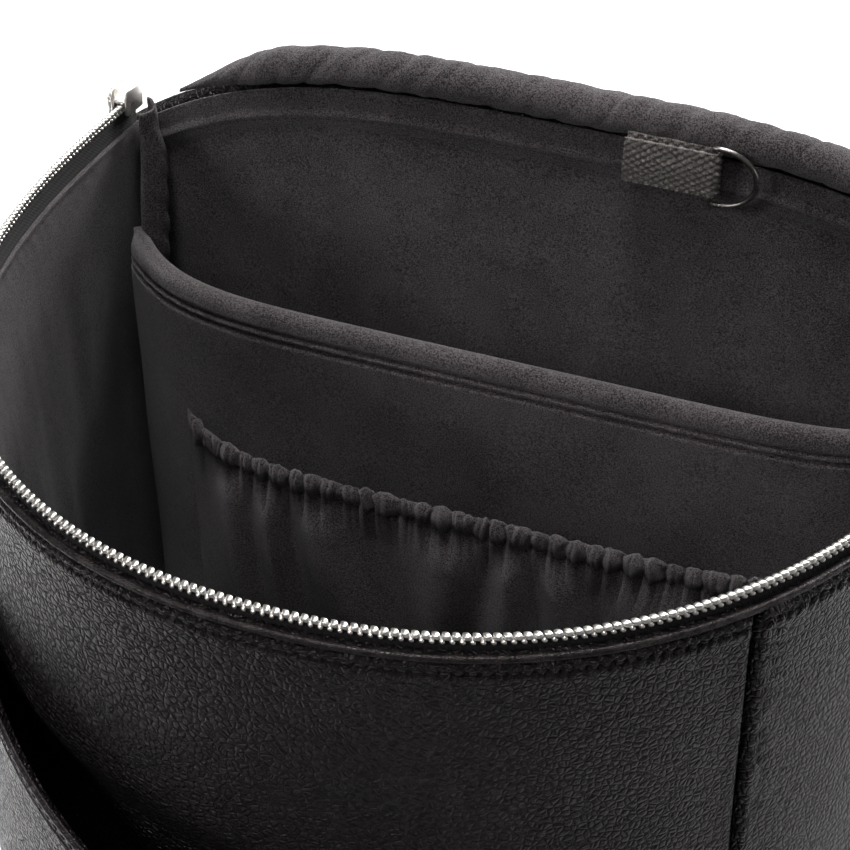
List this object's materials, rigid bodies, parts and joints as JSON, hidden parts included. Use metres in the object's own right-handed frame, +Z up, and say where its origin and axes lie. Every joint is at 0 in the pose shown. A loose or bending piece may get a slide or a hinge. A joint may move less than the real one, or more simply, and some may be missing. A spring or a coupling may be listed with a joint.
{
  "type": "leather backpack",
  "caption": "Leather backpack with a zipped U-shaped mouth, fold-back lid, padded sleeve, gathered inner pocket, front slip pocket and shoulder straps, shown open.",
  "frame": {"origin": "on the floor, on the middle plane, 75 mm in front of the back wall of the compartment", "axes": "+Z up, +X to the right as seen from the front, +Y towards the wearer's back, so the front pocket faces -Y"},
  "size_m": [0.29, 0.3792, 0.4356],
  "materials": {
    "leather": "pebbled black leather, soft sheen",
    "lining": "charcoal brushed microfibre",
    "webbing": "black woven grosgrain and zipper tape",
    "back_mesh": "black air mesh over foam",
    "nickel": "polished nickel",
    "board": "stiffener board, hidden",
    "buckle": "satin black"
  },
  "bodies": {
    "bag": {"back_lining": "lining", "body_lining": "lining", "base_lining": "lining", "front_pocket_back": "lining", "divider": "lining", "divider_gusset_left": "lining", "divider_gusset_right": "lining", "elastic_pocket": "lining", "elastic_casing": "lining", "hinge_roll": "lining", "base_panel": "leather", "side_panel_left": "leather", "side_panel_right": "leather", "front_upper_panel": "leather", "front_pocket_panel": "leather", "front_pocket_binding": "leather", "rim_binding": "leather", "back_panel": "leather", "handle_patch": "leather", "strap_yoke": "leather", "shoulder_strap_left": "leather", "shoulder_strap_right": "leather", "strap_anchor_left": "leather", "strap_anchor_right": "leather", "body_zip_tape": "webbing", "key_loop": "webbing", "strap_webbing_left": "webbing", "strap_webbing_right": "webbing", "body_zip_chain": "nickel", "zip_stop_left": "nickel", "zip_stop_right": "nickel", "back_pad_left": "back_mesh", "back_pad_right": "back_mesh", "base_board": "board"},
    "lid": {"lid_panel": "leather", "lid_lining": "lining", "lid_side_band": "leather", "lid_zip_tape": "webbing", "lid_zip_chain": "nickel", "lid_binding": "leather"},
    "slider_left": {"zip_slider_left": "nickel"},
    "slider_right": {"zip_slider_right": "nickel"},
    "pull_left": {"zip_pull_left": "nickel"},
    "pull_right": {"zip_pull_right": "nickel"},
    "handle": {"carry_handle": "leather"},
    "key_ring": {"key_ring": "nickel"},
    "adjuster_left": {"strap_buckle_left": "buckle"},
    "adjuster_right": {"strap_buckle_right": "buckle"}
  },
  "joints": [
    {"name": "lid_hinge", "type": "hinge", "parent": "bag", "child": "lid", "pos_m": [0, 0.09, 0.429], "axis": [1, 0, 0], "range_deg": [0, 237]},
    {"name": "zip_slide_left", "type": "slide", "parent": "bag", "child": "slider_left", "axis": [0.0146, -0.9858, 0.1676], "range_m": [0, 0.025]},
    {"name": "zip_slide_right", "type": "slide", "parent": "bag", "child": "slider_right", "axis": [-0.0146, -0.9858, 0.1676], "range_m": [0, 0.025]},
    {"name": "pull_hinge_left", "type": "hinge", "parent": "slider_left", "child": "pull_left", "pos_m": [-0.14309, 0.06824, 0.40267], "axis": [0, 0.9859, -0.1676], "range_deg": [0, 150]},
    {"name": "pull_hinge_right", "type": "hinge", "parent": "slider_right", "child": "pull_right", "pos_m": [0.14309, 0.06824, 0.40267], "axis": [0, -0.9859, 0.1676], "range_deg": [0, 150]},
    {"name": "handle_hinge", "type": "hinge", "parent": "bag", "child": "handle", "pos_m": [0, 0.0926, 0.39], "axis": [1, 0, 0], "range_deg": [0, 20]},
    {"name": "key_ring_hinge", "type": "hinge", "parent": "bag", "child": "key_ring", "pos_m": [0.0455, 0.068, 0.417], "axis": [0, 0, -1], "range_deg": [0, 140]},
    {"name": "adjuster_slide_left", "type": "slide", "parent": "bag", "child": "adjuster_left", "axis": [0, 0, -1], "range_m": [0, 0.02], "deforming": ["shoulder_strap_left", "strap_webbing_left"]},
    {"name": "adjuster_slide_right", "type": "slide", "parent": "bag", "child": "adjuster_right", "axis": [0, 0, -1], "range_m": [0, 0.02], "deforming": ["shoulder_strap_right", "strap_webbing_right"]}
  ]
}
